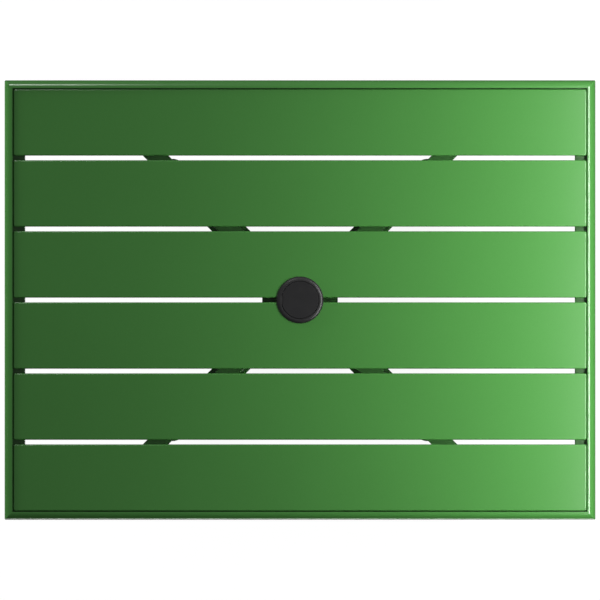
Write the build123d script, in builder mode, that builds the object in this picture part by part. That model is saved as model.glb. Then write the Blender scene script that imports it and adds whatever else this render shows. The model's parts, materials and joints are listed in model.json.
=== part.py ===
from build123d import *
from math import cos, radians, sin
import os

# A rectangular outdoor table with a slatted top and an umbrella hole, standing on a centre base of
# four bent tubes. The origin is on the floor, under the middle of the top. X runs along the table,
# Y across it and Z up. Every length is in millimetres.

# Overall sizes
table_length = 820.0
table_width = 610.0
slat_top = 738.5

# Rim: a hollow rail whose top is rounded over to the outside, and a ledge that carries the slats
rim_width = 11.0
rim_depth = 33.0
rim_wall = 1.8
rim_rise = 1.5
rim_round_radius = 9.5
rim_inner_radius = 1.0
rim_corner_radius = 2.0
rim_void_round = 6.4
ledge_width = 28.3
ledge_thickness = 2.5
ledge_edge_radius = 1.8
lip_thickness = 2.0

# Slats: hollow extrusions with two webs inside, closed and rounded at their ends
slat_count = 6
slat_length = 795.6
slat_width = 92.2
slat_gap = 6.4
slat_thickness = 18.0
slat_wall = 1.5
slat_web = 1.2
slat_chambers = 3
slat_corner_radius = 2.4
slat_edge_radius = 1.75
slat_foot_radius = 0.8

# Button-head screws. The head's sizes are shares of its shank's radius, and the points of its dome
# are shares of the head's own radius and height.
screw_tip = 0.5
screw_head_spread = 1.75
screw_head_rise = 1.1
screw_crown = (0.45, 1.0)
screw_dome = (0.82, 0.7)
screw_brim = (1.0, 0.15)
screw_socket_size = 0.62
screw_socket_depth = 0.7

# Screws that come up through the ledges into the slat ends
slat_screw_x = 390.5
slat_screw_spread = 56.0
slat_screw_radius = 2.1
slat_screw_length = 9.0
slat_screw_play = 0.15

# Diagonal brace bars under the slats, and the plate under their crossing
brace_width = 25.4
brace_height = 15.0
brace_wall = 1.6
brace_corner_radius = 1.5
brace_inner_radius = 0.75
brace_cope_radius = 26.5
hub_side = 105.0
hub_thickness = 5.0
hub_corner_radius = 8.0
hub_hole_radius = 25.5
slat_hole_radius = 25.25

# Umbrella ring and cap
ring_flange_radius = 32.5
ring_tube_radius = 24.75
ring_bore_radius = 22.0
ring_seat_radius = 22.6
ring_pocket_radius = 26.3
ring_pocket_edge = 0.4
ring_stand = 4.0
ring_rim_edge = 0.8
ring_shoulder_radius = 27.6
ring_shelf_rise = 1.5
ring_seat_depth = 22.0
ring_seat_taper = 0.6
ring_length = 45.0
ring_tab_reach = 2.8
ring_tab_width = 10.8
ring_tab_height = 2.1
ring_barb_reach = 1.4
ring_barb_height = 2.2
ring_barb_lip = 0.45
ring_barb_arc = 30.0
cap_radius = 26.0
cap_head = 2.8
cap_bevel = 0.8
cap_skirt_radius = 22.3
cap_skirt_wall = 1.8
cap_skirt_depth = 15.5
cap_notch_play = 0.4

# Legs: one bent rectangular tube each, arm, column and foot
leg_width = 38.1
leg_depth = 25.4
leg_wall = 2.0
leg_corner_radius = 2.5
leg_inner_radius = 0.8
arm_reach = 250.5
foot_reach = 258.0
column_radius = 42.5
bend_radius = 60.0
foot_clearance = 14.0

# Half-round end caps of the arms and plugs of the feet
arm_cap_edge = 1.5
foot_plug_thickness = 3.5
foot_plug_edge = 1.6
spigot_length = 12.0
spigot_play = 0.15
spigot_wall = 2.0
spigot_corner_radius = 1.2

# Collars between the columns, round the umbrella pole
collar_height = 40.0
collar_bore_radius = 22.5
collar_corner_radius = 6.0
collar_edge = 1.5
upper_collar_base = 586.0
lower_collar_base = 94.0
collar_bolt_radius = 4.0
collar_bolt_spread = 22.0
collar_bolt_recess = 1.0

# Bolts that hold the arms to the brace bars, and their nuts inside the bars
arm_bolt_radii = (118.0, 226.0)
arm_bolt_radius = 3.0
arm_bolt_stub = 1.5
arm_bolt_play = 0.4
brace_nut_flats = 10.0
brace_nut_height = 5.0

# Levelling glides under the feet
glide_distance = 232.0
insert_flange_radius = 8.0
insert_flange_height = 1.0
insert_body_radius = 5.5
insert_length = 17.0
stud_radius = 4.0
stud_play = 0.05
stud_top = 36.0
stud_tip = 1.0
stud_hex_flats = 13.0
stud_hex_height = 4.0
stud_foot_radius = 6.0
stud_foot_height = 1.5
stud_foot_base = 3.0
pad_radius = 19.0
pad_edge_height = 4.0
pad_edge_round = 1.0
pad_shoulder_inset = 4.0
pad_shoulder_rise = 2.6
pad_neck_radius = 9.0
pad_height = 9.0
pad_socket_play = 0.3

# Heights and distances that follow from the sizes above
slat_pitch = slat_width + slat_gap
slat_underside = slat_top - slat_thickness
ledge_underside = slat_underside - ledge_thickness
rim_underside = slat_top - rim_depth
brace_middle = (slat_underside + rim_underside) / 2
brace_reach = table_width / 2 - ledge_width
arm_middle = rim_underside - leg_depth / 2
foot_middle = foot_clearance + leg_depth / 2
column_inside = column_radius - leg_depth / 2
column_outside = column_radius + leg_depth / 2
shelf_height = slat_top + ring_shelf_rise
insert_base = foot_clearance - insert_flange_height

leg_angles = {"front_left": 225, "front_right": 315, "back_right": 45, "back_left": 135}


def outward(angle):
    """The level direction that points away from the table's middle at this angle."""
    return Vector(cos(radians(angle)), sin(radians(angle)), 0)


def side_plane(angle):
    """A plane for a profile seen from the side: x outward, y up, z across."""
    return Plane(origin=(0, 0, 0), x_dir=outward(angle), z_dir=outward(angle - 90))


def cross_plane(angle, distance, height=0):
    """A plane across a leg or bar at a distance from the middle, facing outward: x across, y up."""
    middle = outward(angle) * distance + Vector(0, 0, height)
    return Plane(origin=middle, x_dir=outward(angle + 90), z_dir=outward(angle))


def flat_spots(angle, distances):
    """Points on a level plane at these distances along one leg's direction."""
    return [(outward(angle).X * distance, outward(angle).Y * distance) for distance in distances]


def write(piece, label):
    """Names a finished piece and writes its file."""
    piece.part.label = label
    export_step(piece.part, f"parts/{label}.step")


def button_screw(shank_radius, shank_length):
    """A socket button-head screw, its head above z 0 and its shank below."""
    head_radius = shank_radius * screw_head_spread
    head_height = shank_radius * screw_head_rise
    crown, dome, brim = [
        (head_radius * across, head_height * up) for across, up in (screw_crown, screw_dome, screw_brim)
    ]
    with BuildPart() as screw:
        with BuildSketch(Plane.XZ):
            with BuildLine():
                Line((0, head_height), crown)
                ThreePointArc(crown, dome, brim)
                Polyline(
                    brim,
                    (head_radius, 0),
                    (shank_radius, 0),
                    (shank_radius, screw_tip - shank_length),
                    (shank_radius - screw_tip, -shank_length),
                    (0, -shank_length),
                    (0, head_height),
                )
            make_face()
        revolve(axis=Axis.Z)
        with BuildSketch(Plane.XY.offset(head_height)):
            RegularPolygon(shank_radius * screw_socket_size, 6, major_radius=False)
        extrude(amount=-head_height * screw_socket_depth, mode=Mode.SUBTRACT)
    return screw.part


def make_rail(label, middle, inward, length):
    """One rim rail, mitred at both ends. middle is on its outer face at the height of the slat tops."""
    inward = Vector(*inward)
    plane = Plane(origin=middle, x_dir=inward, z_dir=inward.cross(Vector(0, 0, 1)))
    with BuildPart() as rail:
        with BuildSketch(plane) as profile:
            with BuildLine():
                Polyline(
                    (0, rim_rise),
                    (0, -rim_depth),
                    (rim_width, -rim_depth),
                    (rim_width, -slat_thickness - ledge_thickness),
                    (ledge_width - lip_thickness, -slat_thickness - ledge_thickness),
                    (ledge_width - lip_thickness, -rim_depth),
                    (ledge_width, -rim_depth),
                    (ledge_width, -slat_thickness),
                    (rim_width, -slat_thickness),
                    (rim_width, rim_rise),
                    close=True,
                )
            make_face()
            top_corners = profile.vertices().group_by(Axis.Y)[-1].sort_by(Axis.X)
            fillet(top_corners[0], rim_round_radius)
            fillet(top_corners[-1], rim_inner_radius)
            ledge_edge = profile.vertices().group_by(Axis.X)[-1].sort_by(Axis.Y)[-1]
            fillet(ledge_edge, ledge_edge_radius)
        extrude(amount=length / 2, both=True)
        with BuildSketch(plane) as void:
            with Locations((rim_width / 2, (rim_rise - rim_depth) / 2)):
                Rectangle(rim_width - 2 * rim_wall, rim_depth + rim_rise - 2 * rim_wall)
            fillet(void.vertices().group_by(Axis.Y)[-1].sort_by(Axis.X)[0], rim_void_round)
        extrude(amount=length / 2, both=True, mode=Mode.SUBTRACT)
        for end in (-1, 1):
            mitre = Plane(
                origin=plane.from_local_coords((0, 0, end * length / 2)),
                z_dir=plane.x_dir + plane.z_dir * end,
            )
            split(bisect_by=mitre, keep=Keep.BOTTOM)
        with BuildSketch(Plane.XY.offset(rim_underside)):
            RectangleRounded(table_length, table_width, rim_corner_radius)
        extrude(amount=rim_depth + rim_rise, mode=Mode.INTERSECT)
        if abs(inward.X) > 0.5:
            with BuildSketch(Plane.XY.offset(ledge_underside)):
                with Locations((-inward.X * slat_screw_x, 0)):
                    with GridLocations(0, slat_pitch, 1, slat_count):
                        with GridLocations(0, slat_screw_spread, 1, 2):
                            Circle(slat_screw_radius + slat_screw_play)
            extrude(amount=ledge_thickness, mode=Mode.SUBTRACT)
    write(rail, label)


make_rail("rail_front", (0, -table_width / 2, slat_top), (0, 1, 0), table_length)
make_rail("rail_back", (0, table_width / 2, slat_top), (0, -1, 0), table_length)
make_rail("rail_left", (-table_length / 2, 0, slat_top), (1, 0, 0), table_width)
make_rail("rail_right", (table_length / 2, 0, slat_top), (-1, 0, 0), table_width)

# Slats, numbered from the front. The two in the middle share the round cut-out for the ring.
chamber_width = (slat_width - 2 * slat_wall - (slat_chambers - 1) * slat_web) / slat_chambers
chamber_height = slat_thickness - 2 * slat_wall
for number in range(1, slat_count + 1):
    slat_y = (number - (slat_count + 1) / 2) * slat_pitch
    with BuildPart() as slat:
        with BuildSketch(Plane.XY.offset(slat_underside)):
            with Locations((0, slat_y)):
                RectangleRounded(slat_length, slat_width, slat_corner_radius)
        extrude(amount=slat_thickness)
        fillet(slat.faces().sort_by(Axis.Z)[-1].edges(), slat_edge_radius)
        fillet(slat.faces().sort_by(Axis.Z)[0].edges(), slat_foot_radius)
        with BuildSketch(Plane.YZ):
            with Locations((slat_y, slat_underside + slat_thickness / 2)):
                with GridLocations(chamber_width + slat_web, 0, slat_chambers, 1):
                    RectangleRounded(chamber_width, chamber_height, slat_foot_radius)
        extrude(amount=slat_length / 2 - slat_wall, both=True, mode=Mode.SUBTRACT)
        with BuildSketch(Plane.XY.offset(slat_underside)):
            with Locations((0, slat_y)):
                with GridLocations(2 * slat_screw_x, slat_screw_spread, 2, 2):
                    Circle(slat_screw_radius)
        extrude(amount=slat_wall, mode=Mode.SUBTRACT)
        if abs(slat_y) < slat_pitch:
            with BuildSketch(Plane.XY.offset(slat_underside)):
                Circle(slat_hole_radius)
            extrude(amount=slat_thickness, mode=Mode.SUBTRACT)
    write(slat, f"slat_{number}")

slat_screw = button_screw(slat_screw_radius, slat_screw_length)
under_ledge = Plane(origin=(0, 0, ledge_underside), x_dir=(1, 0, 0), z_dir=(0, 0, -1))
with BuildPart() as slat_screws:
    with Locations(under_ledge):
        with GridLocations(2 * slat_screw_x, slat_pitch, 2, slat_count):
            with GridLocations(0, slat_screw_spread, 1, 2):
                add(slat_screw)
write(slat_screws, "slat_screws")

# Brace bars, from the ring's tube out to the lips of the long rails
for place, angle in leg_angles.items():
    side = 1 if outward(angle).Y > 0 else -1
    with BuildPart() as brace:
        with BuildSketch(cross_plane(angle, 0, brace_middle)):
            RectangleRounded(brace_width, brace_height, brace_corner_radius)
            RectangleRounded(
                brace_width - 2 * brace_wall,
                brace_height - 2 * brace_wall,
                brace_inner_radius,
                mode=Mode.SUBTRACT,
            )
        extrude(amount=2 * brace_reach)
        split(bisect_by=Plane(origin=(0, side * brace_reach, 0), z_dir=(0, side, 0)), keep=Keep.BOTTOM)
        with BuildSketch(Plane.XY.offset(rim_underside)):
            Circle(brace_cope_radius)
        extrude(amount=brace_height, mode=Mode.SUBTRACT)
        with BuildSketch(Plane.XY.offset(rim_underside)):
            with Locations(*flat_spots(angle, arm_bolt_radii)):
                Circle(arm_bolt_radius)
        extrude(amount=brace_wall, mode=Mode.SUBTRACT)
    write(brace, f"brace_{place}")

with BuildPart() as brace_nuts:
    for angle in leg_angles.values():
        with BuildSketch(Plane.XY.offset(rim_underside + brace_wall)):
            with Locations(*flat_spots(angle, arm_bolt_radii)):
                RegularPolygon(brace_nut_flats / 2, 6, major_radius=False, rotation=angle)
                Circle(arm_bolt_radius, mode=Mode.SUBTRACT)
    extrude(amount=brace_nut_height)
write(brace_nuts, "brace_nuts")

with BuildPart() as hub_plate:
    with BuildSketch(Plane.XY.offset(rim_underside)):
        RectangleRounded(hub_side, hub_side, hub_corner_radius)
        Circle(hub_hole_radius, mode=Mode.SUBTRACT)
    extrude(amount=-hub_thickness)
write(hub_plate, "hub_plate")

# Umbrella ring: flange on the slats, pocket for the cap, tube down through the hub plate
ring_top = slat_top + ring_stand
ring_bottom = ring_top - ring_length
seat_bottom = slat_top - ring_seat_depth
with BuildPart() as umbrella_ring:
    with BuildSketch(Plane.XZ):
        with BuildLine():
            Polyline(
                (ring_tube_radius, slat_top),
                (ring_flange_radius, slat_top),
                (ring_flange_radius, slat_top + ring_rim_edge),
            )
            TangentArc(
                (ring_shoulder_radius, ring_top),
                (ring_flange_radius, slat_top + ring_rim_edge),
                tangent=(1, 0),
            )
            Polyline(
                (ring_shoulder_radius, ring_top),
                (ring_pocket_radius + ring_pocket_edge, ring_top),
                (ring_pocket_radius, ring_top - ring_pocket_edge),
                (ring_pocket_radius, shelf_height),
                (ring_seat_radius, shelf_height),
                (ring_seat_radius, seat_bottom),
                (ring_bore_radius, seat_bottom - ring_seat_taper),
                (ring_bore_radius, ring_bottom),
                (ring_tube_radius, ring_bottom),
                (ring_tube_radius, slat_top),
            )
        make_face()
    revolve(axis=Axis.Z)
    with BuildSketch(Plane.XY.offset(shelf_height)):
        with Locations((ring_tab_reach - ring_pocket_radius, 0)):
            Rectangle(2 * ring_tab_reach, ring_tab_width, align=(Align.MAX, Align.CENTER))
        Circle(ring_shoulder_radius, mode=Mode.INTERSECT)
    extrude(amount=ring_tab_height)
    for angle in (0, 90, 180, 270):
        with BuildSketch(side_plane(angle - ring_barb_arc / 2)):
            with BuildLine():
                Polyline(
                    (ring_bore_radius, ring_bottom),
                    (ring_tube_radius, ring_bottom),
                    (ring_tube_radius + ring_barb_reach, ring_bottom + ring_barb_height - ring_barb_lip),
                    (ring_tube_radius + ring_barb_reach, ring_bottom + ring_barb_height),
                    (ring_bore_radius, ring_bottom + ring_barb_height),
                    close=True,
                )
            make_face()
        revolve(axis=Axis.Z, revolution_arc=-ring_barb_arc)
write(umbrella_ring, "umbrella_ring")

# Umbrella cap: a flat head in the ring's pocket, a skirt below it and a notch for the ring's tab
with BuildPart() as umbrella_cap:
    with BuildSketch(Plane.XZ):
        with BuildLine():
            Polyline(
                (0, shelf_height + cap_head),
                (cap_radius - cap_bevel, shelf_height + cap_head),
                (cap_radius, shelf_height + cap_head - cap_bevel),
                (cap_radius, shelf_height),
                (cap_skirt_radius, shelf_height),
                (cap_skirt_radius, shelf_height - cap_skirt_depth),
                (cap_skirt_radius - cap_skirt_wall, shelf_height - cap_skirt_depth),
                (cap_skirt_radius - cap_skirt_wall, shelf_height),
                (0, shelf_height),
                close=True,
            )
        make_face()
    revolve(axis=Axis.Z)
    with BuildSketch(Plane.XY.offset(shelf_height)):
        with Locations((-cap_radius + (ring_tab_reach - cap_notch_play) / 2, 0)):
            Rectangle(ring_tab_reach + cap_notch_play, ring_tab_width + 2 * cap_notch_play)
    extrude(amount=cap_head, mode=Mode.SUBTRACT)
write(umbrella_cap, "umbrella_cap")

# Legs with their arm caps and foot plugs
spigot_width = leg_width - 2 * leg_wall - 2 * spigot_play
spigot_depth = leg_depth - 2 * leg_wall - 2 * spigot_play
for place, angle in leg_angles.items():
    collar_middles = [base + collar_height / 2 for base in (lower_collar_base, upper_collar_base)]
    with BuildPart() as leg:
        with BuildLine(side_plane(angle)) as route:
            FilletPolyline(
                (arm_reach, arm_middle),
                (column_radius, arm_middle),
                (column_radius, foot_middle),
                (foot_reach, foot_middle),
                radius=bend_radius,
            )
        with BuildSketch(cross_plane(angle, arm_reach, arm_middle)):
            RectangleRounded(leg_width, leg_depth, leg_corner_radius)
            RectangleRounded(
                leg_width - 2 * leg_wall,
                leg_depth - 2 * leg_wall,
                leg_inner_radius,
                mode=Mode.SUBTRACT,
            )
        sweep(path=route.line)
        with BuildSketch(Plane.XY.offset(rim_underside)):
            with Locations(*flat_spots(angle, arm_bolt_radii)):
                Circle(arm_bolt_radius + arm_bolt_play)
        extrude(amount=-leg_depth, mode=Mode.SUBTRACT)
        with BuildSketch(cross_plane(angle, column_inside)):
            for height in collar_middles:
                with Locations((0, height)):
                    with GridLocations(0, collar_bolt_spread, 1, 2):
                        Circle(collar_bolt_radius + arm_bolt_play)
        extrude(amount=leg_depth, mode=Mode.SUBTRACT)
        with BuildSketch(Plane.XY.offset(foot_clearance)):
            with Locations(*flat_spots(angle, (glide_distance,))):
                Circle(insert_body_radius)
        extrude(amount=leg_wall, mode=Mode.SUBTRACT)
    write(leg, f"leg_{place}")

    with BuildPart() as arm_end_cap:
        arm_end = cross_plane(angle, arm_reach, arm_middle)
        with BuildSketch(Plane(origin=arm_end.origin, x_dir=arm_end.z_dir, z_dir=(0, 0, 1))):
            Circle(leg_width / 2)
            Rectangle(leg_width, leg_width, align=(Align.MIN, Align.CENTER), mode=Mode.INTERSECT)
        extrude(amount=leg_depth / 2, both=True)
        fillet(arm_end_cap.edges().filter_by(GeomType.CIRCLE), arm_cap_edge)
        with BuildSketch(arm_end):
            RectangleRounded(spigot_width, spigot_depth, spigot_corner_radius)
        extrude(amount=-spigot_length)
        with BuildSketch(cross_plane(angle, arm_reach - spigot_length, arm_middle)):
            Rectangle(spigot_width - 2 * spigot_wall, spigot_depth - 2 * spigot_wall)
        extrude(amount=spigot_length, mode=Mode.SUBTRACT)
    write(arm_end_cap, f"arm_end_cap_{place}")

    with BuildPart() as foot_plug:
        with BuildSketch(cross_plane(angle, foot_reach, foot_middle)):
            RectangleRounded(leg_width, leg_depth, leg_corner_radius)
        extrude(amount=foot_plug_thickness)
        outer_face = foot_plug.faces().sort_by(Axis((0, 0, 0), tuple(outward(angle))))[-1]
        fillet(outer_face.edges(), foot_plug_edge)
        with BuildSketch(cross_plane(angle, foot_reach, foot_middle)):
            RectangleRounded(spigot_width, spigot_depth, spigot_corner_radius)
        extrude(amount=-spigot_length)
        with BuildSketch(cross_plane(angle, foot_reach - spigot_length, foot_middle)):
            Rectangle(spigot_width - 2 * spigot_wall, spigot_depth - 2 * spigot_wall)
        extrude(amount=spigot_length, mode=Mode.SUBTRACT)
    write(foot_plug, f"foot_plug_{place}")

# Arm bolts, up through the arms and the bottoms of the brace bars into the nuts
arm_bolt_length = leg_depth + brace_wall + brace_nut_height + arm_bolt_stub
arm_bolt = button_screw(arm_bolt_radius, arm_bolt_length)
with BuildPart() as arm_bolts:
    for angle in leg_angles.values():
        for spot in flat_spots(angle, arm_bolt_radii):
            with Locations(Plane(origin=(*spot, rim_underside - leg_depth), z_dir=(0, 0, -1))):
                add(arm_bolt)
write(arm_bolts, "arm_bolts")

# Collars with their bolts, two through each column
collar_bolt = button_screw(collar_bolt_radius, column_outside - collar_bore_radius - collar_bolt_recess)
for label, base in (("upper_collar", upper_collar_base), ("lower_collar", lower_collar_base)):
    collar_middle = base + collar_height / 2
    with BuildPart() as collar:
        with BuildSketch(Plane.XY.offset(base)):
            RectangleRounded(2 * column_inside, 2 * column_inside, collar_corner_radius, rotation=45)
            Circle(collar_bore_radius, mode=Mode.SUBTRACT)
        extrude(amount=collar_height)
        bore_edges = collar.edges().filter_by(GeomType.CIRCLE).filter_by(
            lambda edge: abs(edge.radius - collar_bore_radius) < 0.1
        )
        chamfer(bore_edges, collar_edge)
        for angle in leg_angles.values():
            with BuildSketch(cross_plane(angle, column_inside, collar_middle)):
                with GridLocations(0, collar_bolt_spread, 1, 2):
                    Circle(collar_bolt_radius)
            extrude(amount=collar_bore_radius - column_inside - collar_bolt_recess, mode=Mode.SUBTRACT)
    write(collar, label)

    with BuildPart() as collar_bolts:
        for angle in leg_angles.values():
            with Locations(cross_plane(angle, column_outside, collar_middle)):
                with GridLocations(0, collar_bolt_spread, 1, 2):
                    add(collar_bolt)
    write(collar_bolts, f"{label}_bolts")

# Threaded inserts in the feet
with BuildPart() as foot_inserts:
    for angle in leg_angles.values():
        with BuildSketch(Plane.XY.offset(insert_base)):
            with Locations(*flat_spots(angle, (glide_distance,))):
                Circle(insert_flange_radius)
        extrude(amount=insert_flange_height)
        with BuildSketch(Plane.XY.offset(foot_clearance)):
            with Locations(*flat_spots(angle, (glide_distance,))):
                Circle(insert_body_radius)
        extrude(amount=insert_length - insert_flange_height)
        with BuildSketch(Plane.XY.offset(insert_base)):
            with Locations(*flat_spots(angle, (glide_distance,))):
                Circle(stud_radius + stud_play)
        extrude(amount=insert_length, mode=Mode.SUBTRACT)
write(foot_inserts, "foot_inserts")

# Levelling glides: a threaded stud whose flanged foot turns in the socket of a pad
for place, angle in leg_angles.items():
    centre = outward(angle) * glide_distance
    upright = Plane(origin=centre, x_dir=(1, 0, 0), z_dir=(0, -1, 0))
    stud_axis = Axis(tuple(centre), (0, 0, 1))
    with BuildPart() as glide_stud:
        with BuildSketch(upright):
            with BuildLine():
                Polyline(
                    (0, stud_foot_base),
                    (stud_foot_radius, stud_foot_base),
                    (stud_foot_radius, stud_foot_base + stud_foot_height),
                    (stud_radius, stud_foot_base + stud_foot_height),
                    (stud_radius, stud_top - stud_tip),
                    (stud_radius - stud_tip, stud_top),
                    (0, stud_top),
                    close=True,
                )
            make_face()
        revolve(axis=stud_axis)
        with BuildSketch(Plane.XY.offset(pad_height)):
            with Locations(*flat_spots(angle, (glide_distance,))):
                RegularPolygon(stud_hex_flats / 2, 6, major_radius=False, rotation=angle)
        extrude(amount=stud_hex_height)
    write(glide_stud, f"glide_stud_{place}")

    socket_radius = stud_foot_radius + pad_socket_play
    socket_top = stud_foot_base + stud_foot_height + pad_socket_play
    with BuildPart() as glide_pad:
        with BuildSketch(upright):
            with BuildLine():
                Line((0, 0), (pad_radius - pad_edge_round, 0))
                Line((pad_radius - pad_edge_round, 0), (pad_radius, pad_edge_round))
                Line((pad_radius, pad_edge_round), (pad_radius, pad_edge_height))
                ThreePointArc(
                    (pad_radius, pad_edge_height),
                    (pad_radius - pad_shoulder_inset, pad_edge_height + pad_shoulder_rise),
                    (pad_neck_radius, pad_height),
                )
                Polyline(
                    (pad_neck_radius, pad_height),
                    (stud_radius + stud_play, pad_height),
                    (stud_radius + stud_play, socket_top),
                    (socket_radius, socket_top),
                    (socket_radius, stud_foot_base - pad_socket_play),
                    (0, stud_foot_base - pad_socket_play),
                    (0, 0),
                )
            make_face()
        revolve(axis=stud_axis)
    write(glide_pad, f"glide_pad_{place}")
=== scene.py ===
import json
import math
import random

import bmesh
import bpy
from mathutils import Matrix, Vector


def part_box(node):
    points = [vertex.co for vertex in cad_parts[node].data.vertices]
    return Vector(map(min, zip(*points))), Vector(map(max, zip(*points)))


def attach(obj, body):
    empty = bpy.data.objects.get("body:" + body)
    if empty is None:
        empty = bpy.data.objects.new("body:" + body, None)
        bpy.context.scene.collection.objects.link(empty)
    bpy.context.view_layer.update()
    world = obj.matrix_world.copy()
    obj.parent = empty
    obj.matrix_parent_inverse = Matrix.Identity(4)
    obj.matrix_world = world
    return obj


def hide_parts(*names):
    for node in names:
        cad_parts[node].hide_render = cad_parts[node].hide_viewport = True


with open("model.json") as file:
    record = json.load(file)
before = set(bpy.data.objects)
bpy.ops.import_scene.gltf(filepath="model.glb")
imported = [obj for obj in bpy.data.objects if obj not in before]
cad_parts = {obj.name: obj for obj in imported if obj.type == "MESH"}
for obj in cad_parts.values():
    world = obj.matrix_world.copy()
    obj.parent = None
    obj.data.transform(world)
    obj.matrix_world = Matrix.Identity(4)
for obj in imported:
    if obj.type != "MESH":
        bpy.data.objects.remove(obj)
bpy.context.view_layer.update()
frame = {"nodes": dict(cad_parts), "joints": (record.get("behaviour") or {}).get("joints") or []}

# A slatted outdoor table with an umbrella hole. Everything is in metres, in the frame of the packed
# part: the origin is on the floor under the middle of the top, X along the table and Z up.

MM = 0.001
PLACES = {"front_left": 225, "front_right": 315, "back_right": 45, "back_left": 135}


# ---------------------------------------------------------------- shader building blocks

def feed(tree, node, inputs):
    """Joins sockets and sets values on a node's inputs, by name or number."""
    for name, value in inputs.items():
        if isinstance(value, bpy.types.NodeSocket):
            tree.links.new(value, node.inputs[name])
        else:
            node.inputs[name].default_value = value


def add_node(tree, kind, inputs=None, **settings):
    """A new node. Inputs are values or sockets, by name or number."""
    node = tree.nodes.new(kind)
    for name, value in settings.items():
        setattr(node, name, value)
    feed(tree, node, inputs or {})
    return node


def calculate(tree, operation, *values, clamp=False):
    """One Math node's result."""
    inputs = dict(enumerate(values))
    return add_node(tree, "ShaderNodeMath", inputs, operation=operation, use_clamp=clamp).outputs[0]


def noise(tree, vector, scale, detail=2.0, roughness=0.5):
    """A noise pattern's value, from 0 to 1. scale is in cells per metre."""
    inputs = {"Vector": vector, "Scale": scale, "Detail": detail, "Roughness": roughness}
    return add_node(tree, "ShaderNodeTexNoise", inputs).outputs["Fac"]


def spread(tree, value, low, high, to_low=0.0, to_high=1.0):
    """value taken from the range low to high to another range, and held inside it."""
    inputs = {0: value, 1: low, 2: high, 3: to_low, 4: to_high}
    return add_node(tree, "ShaderNodeMapRange", inputs, clamp=True).outputs[0]


MIX_MASK, MIX_FIRST, MIX_SECOND, MIX_COLOUR = 0, 6, 7, 2


def blend_colours(tree, mask, first, second):
    """Two colours mixed by a mask."""
    node = add_node(tree, "ShaderNodeMix", data_type="RGBA")
    feed(tree, node, {MIX_MASK: mask, MIX_FIRST: first, MIX_SECOND: second})
    return node.outputs[MIX_COLOUR]


def new_group(name, numbers, outputs):
    """An empty node group that reads a Vector and numbers with defaults, and its two end nodes."""
    tree = bpy.data.node_groups.new(name, "ShaderNodeTree")
    tree.interface.new_socket("Vector", in_out="INPUT", socket_type="NodeSocketVector")
    for label, default in numbers.items():
        socket = tree.interface.new_socket(label, in_out="INPUT", socket_type="NodeSocketFloat")
        socket.default_value = default
    for label in outputs:
        tree.interface.new_socket(label, in_out="OUTPUT", socket_type="NodeSocketFloat")
    return tree, tree.nodes.new("NodeGroupInput"), tree.nodes.new("NodeGroupOutput")


def use_group(tree, group, inputs):
    """A group placed in a material."""
    node = tree.nodes.new("ShaderNodeGroup")
    node.node_tree = group
    feed(tree, node, inputs)
    return node


def make_peel_group():
    """The waviness of a sprayed or moulded skin: broad soft waves and a fine grain on them."""
    numbers = {"Wave Scale": 620.0, "Grain Scale": 2600.0, "Grain Share": 0.3}
    tree, start, end = new_group("skin_peel", numbers, ["Height"])
    waves = noise(tree, start.outputs["Vector"], start.outputs["Wave Scale"], 1.5, 0.45)
    grain = noise(tree, start.outputs["Vector"], start.outputs["Grain Scale"], 2.0, 0.6)
    grain = calculate(tree, "MULTIPLY", grain, start.outputs["Grain Share"])
    tree.links.new(calculate(tree, "ADD", waves, grain), end.inputs["Height"])
    return tree


def make_drift_group():
    """Slow, uneven drift of tone over a surface, with fine specks in it."""
    numbers = {"Drift Scale": 5.0, "Speck Scale": 900.0, "Speck Share": 0.35}
    tree, start, end = new_group("tone_drift", numbers, ["Drift", "Specks"])
    drift = noise(tree, start.outputs["Vector"], start.outputs["Drift Scale"], 3.0, 0.55)
    specks = noise(tree, start.outputs["Vector"], start.outputs["Speck Scale"], 1.0, 0.5)
    specks = spread(tree, specks, 0.35, 0.75)
    drift = spread(tree, drift, 0.3, 0.7)
    tree.links.new(drift, end.inputs["Drift"])
    specks = calculate(tree, "MULTIPLY", specks, start.outputs["Speck Share"])
    tree.links.new(specks, end.inputs["Specks"])
    return tree


def make_edge_group():
    """A mask of the edges and corners, where a coat is thinner and gets rubbed."""
    numbers = {"Radius": 0.0012, "Break Scale": 180.0, "Break Share": 0.6}
    tree, start, end = new_group("edge_rub", numbers, ["Mask"])
    rounded = add_node(tree, "ShaderNodeBevel", {"Radius": start.outputs["Radius"]}, samples=6)
    plain = add_node(tree, "ShaderNodeNewGeometry")
    dot = add_node(
        tree,
        "ShaderNodeVectorMath",
        {0: rounded.outputs["Normal"], 1: plain.outputs["Normal"]},
        operation="DOT_PRODUCT",
    ).outputs["Value"]
    edge = spread(tree, dot, 0.985, 0.80)
    patches = noise(tree, start.outputs["Vector"], start.outputs["Break Scale"], 3.0, 0.6)
    patches = spread(tree, patches, 0.35, 0.6)
    kept = calculate(tree, "SUBTRACT", 1.0, start.outputs["Break Share"])
    patches = calculate(tree, "MULTIPLY", patches, start.outputs["Break Share"])
    patches = calculate(tree, "ADD", patches, kept)
    tree.links.new(calculate(tree, "MULTIPLY", edge, patches), end.inputs["Mask"])
    return tree


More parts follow.
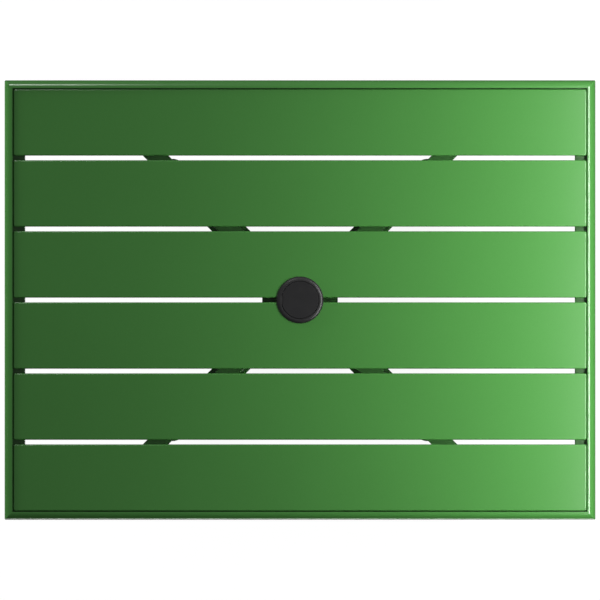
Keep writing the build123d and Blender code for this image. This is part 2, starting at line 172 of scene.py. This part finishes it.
def make_dust_group():
    """Dust that settles on faces that look up, thicker near the floor."""
    numbers = {"Floor Height": 0.05, "Base Share": 0.15}
    tree, start, end = new_group("settled_dust", numbers, ["Mask"])
    height = add_node(tree, "ShaderNodeSeparateXYZ", {0: start.outputs["Vector"]}).outputs["Z"]
    low = calculate(tree, "DIVIDE", height, start.outputs["Floor Height"])
    low = calculate(tree, "SUBTRACT", 1.0, low, clamp=True)
    facing = add_node(tree, "ShaderNodeNewGeometry").outputs["Normal"]
    up = add_node(tree, "ShaderNodeSeparateXYZ", {0: facing}).outputs["Z"]
    up = spread(tree, up, 0.2, 1.0)
    cloud = spread(tree, noise(tree, start.outputs["Vector"], 60.0, 4.0, 0.65), 0.4, 0.75)
    level = calculate(tree, "MULTIPLY", up, start.outputs["Base Share"])
    level = calculate(tree, "ADD", level, low, clamp=True)
    tree.links.new(calculate(tree, "MULTIPLY", level, cloud), end.inputs["Mask"])
    return tree


PEEL = make_peel_group()
DRIFT = make_drift_group()
EDGES = make_edge_group()
DUST = make_dust_group()


# ---------------------------------------------------------------- materials

def new_material(name, metallic=0.0, specular=0.5):
    """A material with its shader, and the Object coordinates that its patterns read."""
    material = bpy.data.materials.new(name)
    material.use_nodes = True
    tree = material.node_tree
    shader = tree.nodes["Principled BSDF"]
    shader.inputs["Metallic"].default_value = metallic
    shader.inputs["Specular IOR Level"].default_value = specular
    place = tree.nodes.new("ShaderNodeTexCoord").outputs["Object"]
    return material, tree, shader, place


def bump(tree, shader, height, depth, strength=1.0):
    """Joins a height to the shader's normal. depth is in metres."""
    node = add_node(tree, "ShaderNodeBump", {"Height": height, "Distance": depth, "Strength": strength})
    tree.links.new(node.outputs["Normal"], shader.inputs["Normal"])


def powder_coat(name, colour, deep, wave_scale, wave_depth, gloss):
    """Powder coat on metal: a soft peel, a little drift of tone, and a paler rub along the edges."""
    material, tree, shader, place = new_material(name, specular=0.42)
    drift = use_group(tree, DRIFT, {"Vector": place, "Drift Scale": 4.0, "Speck Share": 0.25})
    body = blend_colours(tree, drift.outputs["Drift"], colour, deep)
    body = blend_colours(tree, drift.outputs["Specks"], body, [c * 1.25 for c in colour[:3]] + [1])
    edges = use_group(tree, EDGES, {"Vector": place, "Radius": 0.0009, "Break Share": 0.7})
    edge = calculate(tree, "MULTIPLY", edges.outputs["Mask"], 0.22)
    body = blend_colours(tree, edge, body, [c * 1.9 + 0.02 for c in colour[:3]] + [1])
    dust = use_group(tree, DUST, {"Vector": place, "Floor Height": 0.06, "Base Share": 0.008})
    dusty = calculate(tree, "MULTIPLY", dust.outputs["Mask"], 0.35)
    body = blend_colours(tree, dusty, body, (0.30, 0.28, 0.24, 1))
    tree.links.new(body, shader.inputs["Base Color"])
    rough = spread(tree, drift.outputs["Drift"], 0.0, 1.0, gloss - 0.01, gloss + 0.015)
    rough = calculate(tree, "ADD", rough, calculate(tree, "MULTIPLY", dusty, 0.8))
    tree.links.new(rough, shader.inputs["Roughness"])
    peel = use_group(tree, PEEL, {"Vector": place, "Wave Scale": wave_scale})
    bump(tree, shader, peel.outputs["Height"], wave_depth)
    return material


def moulded_plastic(name, colour, gloss, grain_scale, grain_depth):
    """Black moulded plastic with an eroded-tool texture and polished edges."""
    material, tree, shader, place = new_material(name, specular=0.38)
    drift = use_group(tree, DRIFT, {"Vector": place, "Drift Scale": 24.0, "Speck Scale": 1500.0})
    body = blend_colours(tree, drift.outputs["Drift"], colour, [c * 1.35 for c in colour[:3]] + [1])
    edges = use_group(tree, EDGES, {"Vector": place, "Radius": 0.0006, "Break Share": 0.4})
    edge = calculate(tree, "MULTIPLY", edges.outputs["Mask"], 0.1)
    body = blend_colours(tree, edge, body, (0.09, 0.09, 0.092, 1))
    dust = use_group(tree, DUST, {"Vector": place, "Floor Height": 0.012, "Base Share": 0.02})
    dusty = calculate(tree, "MULTIPLY", dust.outputs["Mask"], 0.4)
    body = blend_colours(tree, dusty, body, (0.25, 0.24, 0.22, 1))
    tree.links.new(body, shader.inputs["Base Color"])
    rough = calculate(tree, "MULTIPLY_ADD", drift.outputs["Specks"], 0.12, gloss)
    rough = calculate(tree, "SUBTRACT", rough, calculate(tree, "MULTIPLY", edge, 0.4))
    tree.links.new(rough, shader.inputs["Roughness"])
    inputs = {"Wave Scale": grain_scale, "Grain Scale": grain_scale * 3, "Grain Share": 0.5}
    grain = use_group(tree, PEEL, {"Vector": place, **inputs})
    bump(tree, shader, grain.outputs["Height"], grain_depth)
    return material


def zinc_steel():
    """Bright zinc-plated steel with a faint spangle and dulled patches."""
    material, tree, shader, place = new_material("zinc_plated_steel", metallic=1.0)
    cells = add_node(tree, "ShaderNodeTexVoronoi", {"Vector": place, "Scale": 900.0}).outputs["Color"]
    tint = add_node(tree, "ShaderNodeSeparateXYZ", {0: cells}).outputs["X"]
    drift = use_group(tree, DRIFT, {"Vector": place, "Drift Scale": 120.0})
    body = blend_colours(tree, tint, (0.50, 0.51, 0.53, 1), (0.66, 0.66, 0.65, 1))
    dull = calculate(tree, "MULTIPLY", drift.outputs["Drift"], 0.5)
    body = blend_colours(tree, dull, body, (0.42, 0.41, 0.38, 1))
    tree.links.new(body, shader.inputs["Base Color"])
    tree.links.new(spread(tree, drift.outputs["Drift"], 0, 1, 0.22, 0.42), shader.inputs["Roughness"])
    peel = use_group(tree, PEEL, {"Vector": place, "Wave Scale": 1800.0, "Grain Scale": 6000.0})
    bump(tree, shader, peel.outputs["Height"], 0.00002)
    return material


LEAF_GREEN = (0.032, 0.130, 0.024, 1)
DEEP_GREEN = (0.030, 0.123, 0.022, 1)
# The base and cast coats are the top's green made 1.25 times lighter. This is painted light: it lifts
# the legs, braces, hub, collars and end caps that sit in shade under the top.
SHADE_LIFTED_LEAF = (0.040, 0.162, 0.030, 1)
SHADE_LIFTED_DEEP = (0.037, 0.154, 0.028, 1)
TOP_COAT = powder_coat("green_powder_coat", LEAF_GREEN, DEEP_GREEN, 620.0, 0.00003, 0.23)
SHADE_LIFTED_BASE_COAT = powder_coat("green_powder_coat_base_shade_lifted", SHADE_LIFTED_LEAF, SHADE_LIFTED_DEEP, 480.0, 0.00005, 0.28)
SHADE_LIFTED_CAST_COAT = powder_coat("green_powder_coat_cast_shade_lifted", SHADE_LIFTED_LEAF, SHADE_LIFTED_DEEP, 260.0, 0.00022, 0.34)
RING_BLACK = moulded_plastic("black_ring_plastic", (0.007, 0.007, 0.0075, 1), 0.40, 1400.0, 0.00002)
CAP_BLACK = moulded_plastic("black_cap_plastic", (0.0055, 0.0055, 0.006, 1), 0.36, 1900.0, 0.00003)
PLUG_BLACK = moulded_plastic("black_plug_plastic", (0.018, 0.018, 0.019, 1), 0.45, 1100.0, 0.00004)
PAD_BLACK = moulded_plastic("black_pad_nylon", (0.022, 0.022, 0.022, 1), 0.50, 700.0, 0.00006)
ZINC = zinc_steel()

FINISH_BY_START = {
    "slat_screws": ZINC,
    "slat_": TOP_COAT,
    "rail_": TOP_COAT,
    "brace_nuts": ZINC,
    "brace_": SHADE_LIFTED_BASE_COAT,
    "hub_plate": SHADE_LIFTED_BASE_COAT,
    "leg_": SHADE_LIFTED_BASE_COAT,
    "arm_end_cap_": SHADE_LIFTED_CAST_COAT,
    "arm_bolts": ZINC,
    "upper_collar_bolts": ZINC,
    "lower_collar_bolts": ZINC,
    "upper_collar": SHADE_LIFTED_CAST_COAT,
    "lower_collar": SHADE_LIFTED_CAST_COAT,
    "foot_inserts": ZINC,
    "foot_plug_": PLUG_BLACK,
    "glide_stud_": ZINC,
    "glide_pad_": PAD_BLACK,
    "umbrella_ring": RING_BLACK,
    "umbrella_cap": CAP_BLACK,
}


def finish_nodes():
    """Gives every CAD node its material: the first entry that its name starts with."""
    for name, node in frame["nodes"].items():
        material = next(m for start, m in FINISH_BY_START.items() if name.startswith(start))
        node.data.materials.clear()
        node.data.materials.append(material)


finish_nodes()


# ---------------------------------------------------------------- welds and threads

def finish_piece(name, work, material, body):
    """Turns a bmesh into a finished piece: doubles merged, faces outwards, smooth and on its body."""
    bmesh.ops.remove_doubles(work, verts=work.verts, dist=0.000002)
    bmesh.ops.recalc_face_normals(work, faces=work.faces)
    for face in work.faces:
        face.smooth = True
    mesh = bpy.data.meshes.new(name)
    work.to_mesh(mesh)
    work.free()
    mesh.materials.append(material)
    piece = bpy.data.objects.new(name, mesh)
    bpy.context.scene.collection.objects.link(piece)
    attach(piece, body)
    return piece


def grow_ring(work, edges):
    """Extrudes a ring of edges once and gives the new ring's edges and vertices."""
    made = bmesh.ops.extrude_edge_only(work, edges=edges)["geom"]
    verts = [item for item in made if isinstance(item, bmesh.types.BMVert)]
    fresh = set(verts)
    grown = [
        item
        for item in made
        if isinstance(item, bmesh.types.BMEdge) and item.verts[0] in fresh and item.verts[1] in fresh
    ]
    return grown, verts


BEAD_RADIUS = 2.0 * MM
BEAD_RIPPLE = 1.6 * MM
BEAD_SIDES = 10
BEAD_TIP = 0.45
BEAD_TROUGH = 0.86
BEAD_UNEVENNESS = (0.94, 1.04)
# The welds take the lightened cast coat, so their colour carries the same painted lift against the shade
# under the top.
WELD_COAT = SHADE_LIFTED_CAST_COAT


def add_bead(work, start, end, draw, radius=BEAD_RADIUS):
    """One straight weld bead from start to end, with the ripples that the torch's steps leave."""
    along = end - start
    place = Matrix.Translation(start) @ along.to_track_quat("Z", "Y").to_matrix().to_4x4()
    size = radius * BEAD_TIP
    ring = bmesh.ops.create_circle(
        work, segments=BEAD_SIDES, radius=size, cap_ends=True, matrix=place
    )
    verts = ring["verts"]
    edges = list({edge for vert in verts for edge in vert.link_edges})
    ripples = max(3, round(along.length / BEAD_RIPPLE))
    half_steps = 2 * ripples
    for step in range(1, half_steps + 1):
        edges, verts = grow_ring(work, edges)
        bmesh.ops.translate(work, verts=verts, vec=along / half_steps)
        crest = 1.0 if step % 2 else BEAD_TROUGH
        last = step == half_steps
        wanted = radius * (BEAD_TIP if last else crest * draw.uniform(*BEAD_UNEVENNESS))
        middle = start + along * step / half_steps
        bmesh.ops.scale(
            work, verts=verts, vec=Vector((1, 1, 1)) * wanted / size, space=Matrix.Translation(-middle)
        )
        size = wanted
    bmesh.ops.contextual_create(work, geom=edges)


RIM_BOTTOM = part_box("rail_front")[0].z
LEDGE_THICKNESS = 2.5 * MM
LEDGE_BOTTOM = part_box("slat_1")[0].z - LEDGE_THICKNESS
BEAD_START = 0.5 * MM
LIP_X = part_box("rail_right")[0].x
LIP_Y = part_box("rail_back")[0].y
BRACE_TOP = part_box("brace_back_right")[1].z
BRACE_HALF = 12.7 * MM
HUB_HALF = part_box("hub_plate")[1].x
RING_CLEAR = 27.5 * MM
WELD_DRAW = random.Random(11)


def weld_rim_corners():
    """Beads up the four inside corners, where the lips of the rails meet."""
    work = bmesh.new()
    for side_x in (-1, 1):
        for side_y in (-1, 1):
            foot = Vector((side_x * LIP_X, side_y * LIP_Y, RIM_BOTTOM + BEAD_START))
            top = Vector((foot.x, foot.y, LEDGE_BOTTOM + 2 * MM))
            add_bead(work, foot, top, WELD_DRAW)
    finish_piece("weld_rim_corners", work, WELD_COAT, "root")


def outward(place):
    """The level directions along and across a leg."""
    angle = math.radians(PLACES[place])
    return Vector((math.cos(angle), math.sin(angle), 0)), Vector((-math.sin(angle), math.cos(angle), 0))


def weld_brace(place):
    """Beads round a brace bar: down both sides and under its end on the lip, and along the hub plate."""
    along, across = outward(place)
    work = bmesh.new()
    end_middle = along * (LIP_Y / abs(along.y))
    run = Vector((1, 0, 0))
    half_run = BRACE_HALF / abs(across.x)
    for side in (-1, 1):
        corner = end_middle + run * side * half_run
        low = Vector((corner.x, corner.y, RIM_BOTTOM + BEAD_START))
        high = Vector((corner.x, corner.y, BRACE_TOP - 1.0 * MM))
        add_bead(work, low, high, WELD_DRAW)
        inner = across * side * BRACE_HALF
        first = math.sqrt(RING_CLEAR ** 2 - BRACE_HALF ** 2)
        last = HUB_HALF * math.sqrt(2) - BRACE_HALF - 3 * MM
        start = inner + along * first
        end = inner + along * last
        start.z = end.z = RIM_BOTTOM
        add_bead(work, start, end, WELD_DRAW)
    left = end_middle - run * half_run
    right = end_middle + run * half_run
    left.z = right.z = RIM_BOTTOM + 1.2 * MM
    add_bead(work, left, right, WELD_DRAW)
    finish_piece(f"weld_brace_{place}", work, WELD_COAT, "root")


weld_rim_corners()
for place in PLACES:
    weld_brace(place)


THREAD_PITCH = 1.25 * MM
STUD_RADIUS = 4.0 * MM
THREAD_DEPTH = 0.62 * MM
NUT_FLATS = 13.0 * MM
NUT_HEIGHT = 4.0 * MM
NUT_CHAMFER = 0.5 * MM
NUT_CORNER_START = 0.94
NUT_CHAMFER_SLOPE = 0.6
FOOT_RADIUS = 6.0 * MM
FOOT_THICKNESS = 1.5 * MM
FOOT_CHAMFER = (0.4 * MM, 0.3 * MM)
SHANK_RADIUS = STUD_RADIUS - 0.1 * MM
TIP_RADIUS = STUD_RADIUS - 1.0 * MM
TIP_HEIGHT = 1.2 * MM


def lathe(work, profile, centre, steps):
    """Spins a profile of (radius, height) points into a closed body about an upright axis."""
    verts = [work.verts.new((centre.x + radius, centre.y, height)) for radius, height in profile]
    edges = [work.edges.new(pair) for pair in zip(verts, verts[1:])]
    bmesh.ops.spin(
        work,
        geom=verts + edges,
        cent=centre,
        axis=(0, 0, 1),
        angle=2 * math.pi,
        steps=steps,
        use_merge=True,
    )


def thread_profile(low, high):
    """The crests and roots of an M8 thread between two heights."""
    points = []
    height = low
    while height + THREAD_PITCH <= high:
        points.append((STUD_RADIUS - THREAD_DEPTH, height + 0.08 * THREAD_PITCH))
        points.append((STUD_RADIUS, height + 0.44 * THREAD_PITCH))
        points.append((STUD_RADIUS, height + 0.56 * THREAD_PITCH))
        points.append((STUD_RADIUS - THREAD_DEPTH, height + 0.92 * THREAD_PITCH))
        height += THREAD_PITCH
    return points


def make_stud(place):
    """A levelling stud: a flanged foot in the pad, an M8 thread and a chamfered tip."""
    node = f"glide_stud_{place}"
    low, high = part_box(node)
    centre = Vector(((low.x + high.x) / 2, (low.y + high.y) / 2, 0))
    pad_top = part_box(f"glide_pad_{place}")[1].z
    foot_top = low.z + FOOT_THICKNESS
    profile = [(0, low.z), (FOOT_RADIUS - FOOT_CHAMFER[0], low.z)]
    profile += [(FOOT_RADIUS, low.z + FOOT_CHAMFER[1]), (FOOT_RADIUS, foot_top)]
    profile += [(SHANK_RADIUS, foot_top), (SHANK_RADIUS, pad_top)]
    profile += thread_profile(pad_top + 0.1 * MM, high.z - TIP_HEIGHT)
    profile += [(TIP_RADIUS, high.z), (0, high.z)]
    work = bmesh.new()
    lathe(work, profile, centre, 40)
    stud = finish_piece(f"threaded_stud_{place}", work, ZINC, f"stud_{place}")
    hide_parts(node)
    return centre, pad_top


def make_nut(place, centre, low):
    """The hexagon that turns the stud, with its corners chamfered."""
    work = bmesh.new()
    turn = Matrix.Rotation(math.radians(PLACES[place]), 4, "Z")
    base = Matrix.Translation(Vector((centre.x, centre.y, low))) @ turn
    ring = bmesh.ops.create_circle(work, segments=36, radius=NUT_FLATS / 2, matrix=base)["verts"]
    for number, vert in enumerate(ring):
        offset = vert.co - Vector((centre.x, centre.y, low))
        angle = math.atan2(offset.y, offset.x) - math.radians(PLACES[place])
        off_flat = (angle + math.pi / 6) % (math.pi / 3) - math.pi / 6
        vert.co = Vector((centre.x, centre.y, low)) + offset / math.cos(off_flat)
    edges = list({edge for vert in ring for edge in vert.link_edges})
    inner = bmesh.ops.create_circle(work, segments=36, radius=STUD_RADIUS, matrix=base)["verts"]
    edges += list({edge for vert in inner for edge in vert.link_edges})
    faces = bmesh.ops.bridge_loops(work, edges=edges)["faces"]
    raised = bmesh.ops.extrude_face_region(work, geom=faces)["geom"]
    top = [item for item in raised if isinstance(item, bmesh.types.BMVert)]
    bmesh.ops.translate(work, verts=top, vec=(0, 0, NUT_HEIGHT))
    limit = NUT_CORNER_START * NUT_FLATS / 2 / math.cos(math.pi / 6)
    for vert in work.verts:
        offset = vert.co - Vector((centre.x, centre.y, vert.co.z))
        if offset.length > limit:
            lift = (offset.length - limit) * NUT_CHAMFER_SLOPE
            vert.co.z += lift if vert.co.z < low + NUT_CHAMFER else -lift
    nut = finish_piece(f"stud_hexagon_{place}", work, ZINC, f"stud_{place}")
    for face in nut.data.polygons:
        face.use_smooth = False


for place in PLACES:
    stud_centre, nut_bottom = make_stud(place)
    make_nut(place, stud_centre, nut_bottom)


# ---------------------------------------------------------------- floor, light and camera

def grey(tone):
    """A neutral colour."""
    return (tone, tone, tone, 1)


FLOOR_SIZE = 60.0
FLOOR_CLEARANCE = 0.5 * MM
FLOOR_TONE = 0.40
FLOOR_SHADE_SEEN = 0.10
FLOOR_GLOW_SEEN = 0.92
SURROUND_SEEN = 0.98
SURROUND_FRONT = 0.06
SURROUND_BACK = 0.43
SLAT_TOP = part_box("slat_1")[1].z
TOP_MIDDLE = Vector((0, 0, SLAT_TOP))


def make_floor():
    """A wide pale floor, clear when seen from below, just under the lowest reach of the glides."""
    travel = [joint["range_m"][1] for joint in frame["joints"] if joint["name"].startswith("pad_")]
    drop = max(travel) + FLOOR_CLEARANCE
    mesh = bpy.data.meshes.new("floor")
    work = bmesh.new()
    level = Matrix.Translation((0, 0, -drop))
    bmesh.ops.create_grid(work, x_segments=1, y_segments=1, size=FLOOR_SIZE / 2, matrix=level)
    work.to_mesh(mesh)
    work.free()
    floor = bpy.data.objects.new("floor", mesh)
    bpy.context.scene.collection.objects.link(floor)
    material = bpy.data.materials.new("pale_floor")
    material.use_nodes = True
    tree = material.node_tree
    shader = tree.nodes["Principled BSDF"]
    shader.inputs["Roughness"].default_value = 0.9
    shader.inputs["Specular IOR Level"].default_value = 0.1
    shader.inputs["Emission Color"].default_value = (1, 1, 1, 1)
    seen = tree.nodes.new("ShaderNodeLightPath").outputs["Is Camera Ray"]
    tone = blend_colours(tree, seen, grey(FLOOR_TONE), grey(FLOOR_SHADE_SEEN))
    tree.links.new(tone, shader.inputs["Base Color"])
    glow = calculate(tree, "MULTIPLY", seen, FLOOR_GLOW_SEEN)
    tree.links.new(glow, shader.inputs["Emission Strength"])
    below = tree.nodes.new("ShaderNodeNewGeometry").outputs["Backfacing"]
    tree.links.new(calculate(tree, "SUBTRACT", 1.0, below), shader.inputs["Alpha"])
    mesh.materials.append(material)


def make_world():
    """A pale surround for the camera, and for the light a dim one that is brighter at the back."""
    world = bpy.data.worlds.new("studio")
    world.use_nodes = True
    tree = world.node_tree
    background = tree.nodes["Background"]
    seen = tree.nodes.new("ShaderNodeLightPath").outputs["Is Camera Ray"]
    toward = tree.nodes.new("ShaderNodeTexCoord").outputs["Generated"]
    back = add_node(tree, "ShaderNodeSeparateXYZ", {0: toward}).outputs["Y"]
    back = spread(tree, back, -1.0, 1.0)
    dim = blend_colours(tree, back, grey(SURROUND_FRONT), grey(SURROUND_BACK))
    tint = blend_colours(tree, seen, dim, grey(SURROUND_SEEN))
    tree.links.new(tint, background.inputs["Color"])
    bpy.context.scene.world = world


def make_light(name, place, aim, width, height, power, reflected=True, diffuse=True):
    """A soft rectangular light that looks at a point of the top. Places are from the top's middle."""
    data = bpy.data.lights.new(name, "AREA")
    data.shape = "RECTANGLE"
    data.size = width
    data.size_y = height
    data.energy = power
    light = bpy.data.objects.new(name, data)
    direction = Vector(aim) - Vector(place)
    light.location = TOP_MIDDLE + Vector(place)
    light.rotation_euler = direction.to_track_quat("-Z", "Y").to_euler()
    light.visible_camera = False
    light.visible_glossy = reflected
    light.visible_diffuse = diffuse
    bpy.context.scene.collection.objects.link(light)


def make_camera():
    """A long lens straight above the middle of the top, with the back rail towards the top edge."""
    taken_in = 0.8325
    distance = 25.0
    data = bpy.data.cameras.new("camera")
    data.sensor_width = 36.0
    data.lens = data.sensor_width * distance / taken_in
    data.clip_end = 2 * distance
    camera = bpy.data.objects.new("camera", data)
    camera.location = TOP_MIDDLE + Vector((0, 0, distance))
    bpy.context.scene.collection.objects.link(camera)
    bpy.context.scene.camera = camera


make_floor()
make_world()
make_camera()
make_light("key_right", (0.53, 0, 0.48), (0.49, 0, 0), 1.15, 0.07, 15.0)
make_light("low_left", (-1.4, 0.4, 0.15), (-0.3, 0.1, 0), 1.2, 0.2, 19.0, reflected=False)
make_light("low_back", (0.1, 1.4, 0.15), (0.1, 0.2, 0), 1.6, 0.2, 8.0, reflected=False)
make_light("low_front", (0.25, -1.1, -0.62), (0, 0, -0.3), 1.4, 0.2, 8.0)
make_light("glint_back", (-0.42, 1.02, 0.75), (-0.4, 0.3, 0), 0.2, 0.12, 3.5, diffuse=False)

bpy.context.scene.view_settings.view_transform = "Standard"
